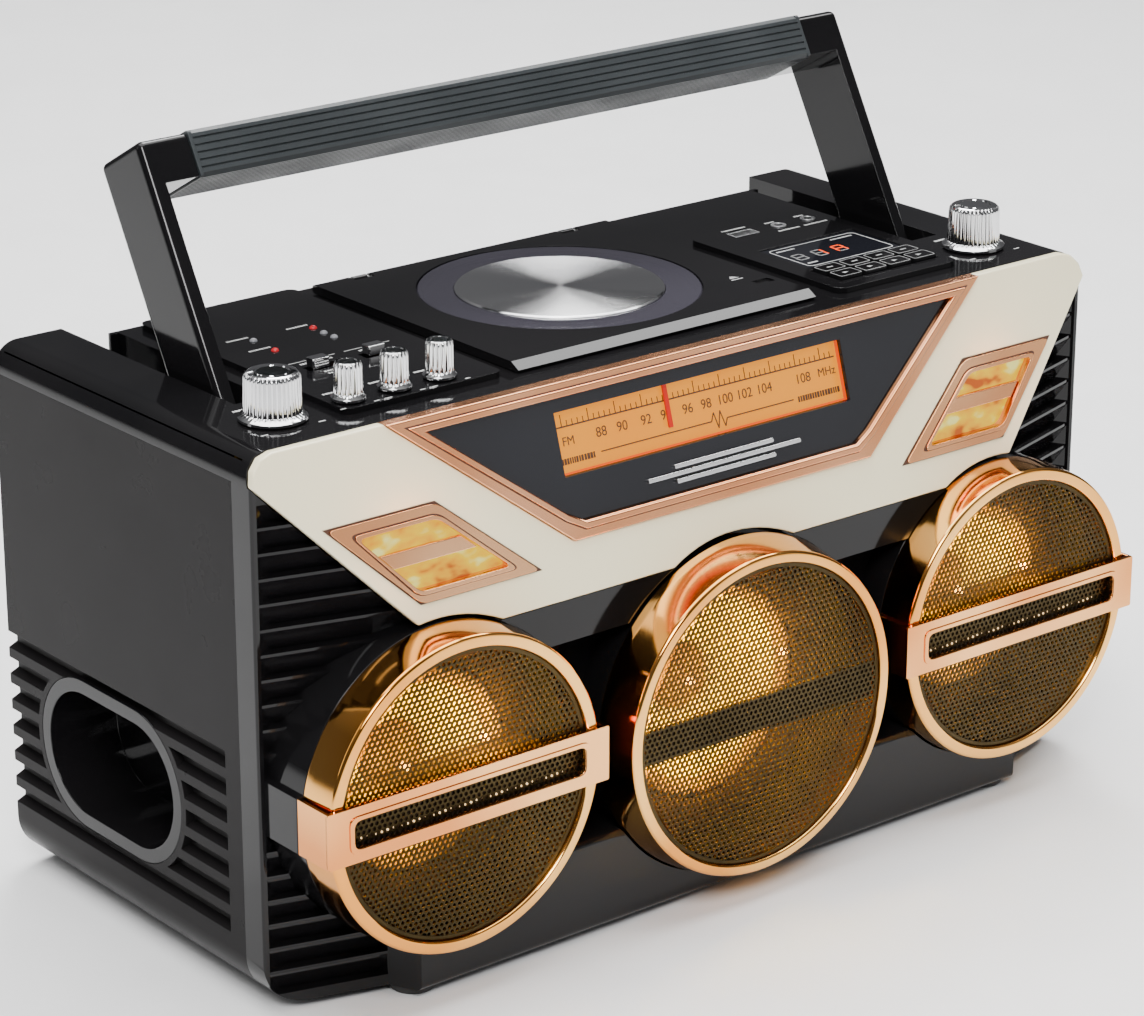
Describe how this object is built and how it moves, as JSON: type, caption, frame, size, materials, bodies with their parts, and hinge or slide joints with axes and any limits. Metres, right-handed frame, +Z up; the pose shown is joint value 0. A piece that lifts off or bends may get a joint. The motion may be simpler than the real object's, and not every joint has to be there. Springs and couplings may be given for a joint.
{
  "type": "portable stereo radio",
  "caption": "Wide portable stereo with a folding carry handle, top disc lid, row of knobs and keys, leaning dial front, round grilles and ribbed sides.",
  "frame": {"origin": "middle of the object's box at floor level", "axes": "+Z up, +X to the right seen from the front, +Y to the back"},
  "size_m": [0.43, 0.2222, 0.3144],
  "materials": {
    "gloss_black": "moulded, high gloss black",
    "satin_black": "moulded, satin black",
    "ivory": "glossy ivory lacquer",
    "rose_gold": "metallised rose gold",
    "dark_window": "polished black window",
    "dial_card": "back-lit orange print",
    "red_pointer": "gloss red",
    "amber_lens": "frosted amber",
    "display": "smoked window",
    "key_black": "gloss black key caps",
    "socket_metal": "nickel plated",
    "lamp": "diffuse lamp body",
    "chrome_knob": "bright chrome",
    "steel": "zinc plated steel",
    "lid_window": "smoked clear plastic",
    "spun_aluminium": "radially spun",
    "mechanism_grey": "moulded grey",
    "bronze_mesh": "perforated bronze sheet",
    "paper_cone": "pressed paper",
    "grip_rubber": "ribbed dark rubber",
    "board_green": "circuit board",
    "foot_rubber": "black rubber"
  },
  "bodies": {
    "casing": {"case_screws": "steel", "cd_carrier": "steel", "cd_well": "satin_black", "circuit_boards": "board_green", "control_panel_left": "gloss_black", "control_panel_right": "gloss_black", "dial_bezel": "rose_gold", "dial_scale": "dial_card", "dial_window": "dark_window", "display_module": "display", "driver_baskets": "steel", "driver_cones": "paper_cone", "feet": "foot_rubber", "front_shell": "gloss_black", "grille_bars": "rose_gold", "hinge_pins": "steel", "indicator_frames": "rose_gold", "indicator_lenses": "amber_lens", "mains_inlet": "satin_black", "panel_leds": "lamp", "panel_sockets": "socket_metal", "potentiometers": "steel", "rear_cabinet": "satin_black", "side_ports": "satin_black", "speaker_grille_centre": "bronze_mesh", "speaker_grille_left": "bronze_mesh", "speaker_grille_right": "bronze_mesh", "speaker_pods": "satin_black", "speaker_ring_centre": "rose_gold", "speaker_ring_left": "rose_gold", "speaker_ring_right": "rose_gold", "top_deck": "gloss_black", "transformer": "steel", "v_panel": "ivory"},
    "handle": {"handle_frame": "gloss_black", "handle_grip": "grip_rubber"},
    "lid": {"cd_lid": "gloss_black", "cd_lid_window": "lid_window", "cd_lid_disc": "spun_aluminium"},
    "disc_hub": {"cd_hub": "mechanism_grey"},
    "pickup": {"cd_pickup": "mechanism_grey"},
    "volume": {"volume_knob": "chrome_knob"},
    "tuning": {"tuning_knob": "chrome_knob"},
    "pointer": {"dial_pointer": "red_pointer"},
    "tone_1": {"tone_knob_1": "chrome_knob"},
    "tone_2": {"tone_knob_2": "chrome_knob"},
    "tone_3": {"tone_knob_3": "chrome_knob"},
    "switch_1": {"slide_cap_1": "chrome_knob"},
    "switch_2": {"slide_cap_2": "chrome_knob"},
    "battery_cover": {"battery_door": "satin_black"},
    "aerial": {"aerial_tube": "chrome_knob"},
    "aerial_end": {"aerial_tip": "chrome_knob"},
    "button_1": {"key_1": "key_black"},
    "button_2": {"key_2": "key_black"},
    "button_3": {"key_3": "key_black"},
    "button_4": {"key_4": "key_black"},
    "button_5": {"key_5": "key_black"},
    "button_6": {"key_6": "key_black"},
    "button_7": {"key_7": "key_black"},
    "button_8": {"key_8": "key_black"}
  },
  "joints": [
    {"name": "handle_hinge", "type": "hinge", "parent": "casing", "child": "handle", "pos_m": [0, 0.0047, 0.196], "axis": [-1, 0, 0], "range_deg": [-28.5, 61]},
    {"name": "cd_lid_hinge", "type": "hinge", "parent": "casing", "child": "lid", "pos_m": [0, 0.0839, 0.2282], "axis": [-1, 0, 0], "range_deg": [0, 55]},
    {"name": "disc_hub_spin", "type": "hinge", "parent": "casing", "child": "disc_hub", "pos_m": [0, 0.0197, 0.212], "axis": [0, 0, 1], "continuous": true},
    {"name": "pickup_slide", "type": "slide", "parent": "casing", "child": "pickup", "axis": [1, 0, 0], "range_m": [-0.006, 0.016]},
    {"name": "volume_turn", "type": "hinge", "parent": "casing", "child": "volume", "pos_m": [-0.182, -0.0363, 0.236], "axis": [0, 0, -1], "range_deg": [-150, 150]},
    {"name": "tuning_turn", "type": "hinge", "parent": "casing", "child": "tuning", "pos_m": [0.182, -0.0363, 0.236], "axis": [0, 0, -1], "range_deg": [-400, 680]},
    {"name": "pointer_slide", "type": "slide", "parent": "casing", "child": "pointer", "axis": [1, 0, 0], "range_m": [-0.0505, 0.0855]},
    {"name": "tone_turn_1", "type": "hinge", "parent": "casing", "child": "tone_1", "pos_m": [-0.151, -0.0413, 0.236], "axis": [0, 0, -1], "range_deg": [-140, 140]},
    {"name": "tone_turn_2", "type": "hinge", "parent": "casing", "child": "tone_2", "pos_m": [-0.1295, -0.0413, 0.236], "axis": [0, 0, -1], "range_deg": [-140, 140]},
    {"name": "tone_turn_3", "type": "hinge", "parent": "casing", "child": "tone_3", "pos_m": [-0.108, -0.0413, 0.236], "axis": [0, 0, -1], "range_deg": [-140, 140]},
    {"name": "switch_slide_1", "type": "slide", "parent": "casing", "child": "switch_1", "axis": [1, 0, 0], "range_m": [0, 0.007]},
    {"name": "switch_slide_2", "type": "slide", "parent": "casing", "child": "switch_2", "axis": [1, 0, 0], "range_m": [0, 0.007]},
    {"name": "button_press_1", "type": "slide", "parent": "casing", "child": "button_1", "axis": [0, 0, -1], "range_m": [0, 0.0012], "stiffness_N_per_m": 300, "springref_m": -0.0005},
    {"name": "button_press_2", "type": "slide", "parent": "casing", "child": "button_2", "axis": [0, 0, -1], "range_m": [0, 0.0012], "stiffness_N_per_m": 300, "springref_m": -0.0005},
    {"name": "button_press_3", "type": "slide", "parent": "casing", "child": "button_3", "axis": [0, 0, -1], "range_m": [0, 0.0012], "stiffness_N_per_m": 300, "springref_m": -0.0005},
    {"name": "button_press_4", "type": "slide", "parent": "casing", "child": "button_4", "axis": [0, 0, -1], "range_m": [0, 0.0012], "stiffness_N_per_m": 300, "springref_m": -0.0005},
    {"name": "button_press_5", "type": "slide", "parent": "casing", "child": "button_5", "axis": [0, 0, -1], "range_m": [0, 0.0012], "stiffness_N_per_m": 300, "springref_m": -0.0005},
    {"name": "button_press_6", "type": "slide", "parent": "casing", "child": "button_6", "axis": [0, 0, -1], "range_m": [0, 0.0012], "stiffness_N_per_m": 300, "springref_m": -0.0005},
    {"name": "button_press_7", "type": "slide", "parent": "casing", "child": "button_7", "axis": [0, 0, -1], "range_m": [0, 0.0012], "stiffness_N_per_m": 300, "springref_m": -0.0005},
    {"name": "button_press_8", "type": "slide", "parent": "casing", "child": "button_8", "axis": [0, 0, -1], "range_m": [0, 0.0012], "stiffness_N_per_m": 300, "springref_m": -0.0005},
    {"name": "battery_door_hinge", "type": "hinge", "parent": "casing", "child": "battery_cover", "pos_m": [-0.01, 0.10845, 0.02925], "axis": [-1, 0, 0], "range_deg": [0, 95]},
    {"name": "aerial_hinge", "type": "hinge", "parent": "casing", "child": "aerial", "pos_m": [0.126, 0.1012, 0.216], "axis": [0, 1, 0], "range_deg": [0, 90]},
    {"name": "aerial_draw", "type": "slide", "parent": "aerial", "child": "aerial_end", "axis": [-1, 0, 0], "range_m": [0, 0.1]}
  ],
  "couplings": [
    {"joint": "pointer_slide", "follows": "tuning_turn", "m_per_rad": 0.007162}
  ]
}
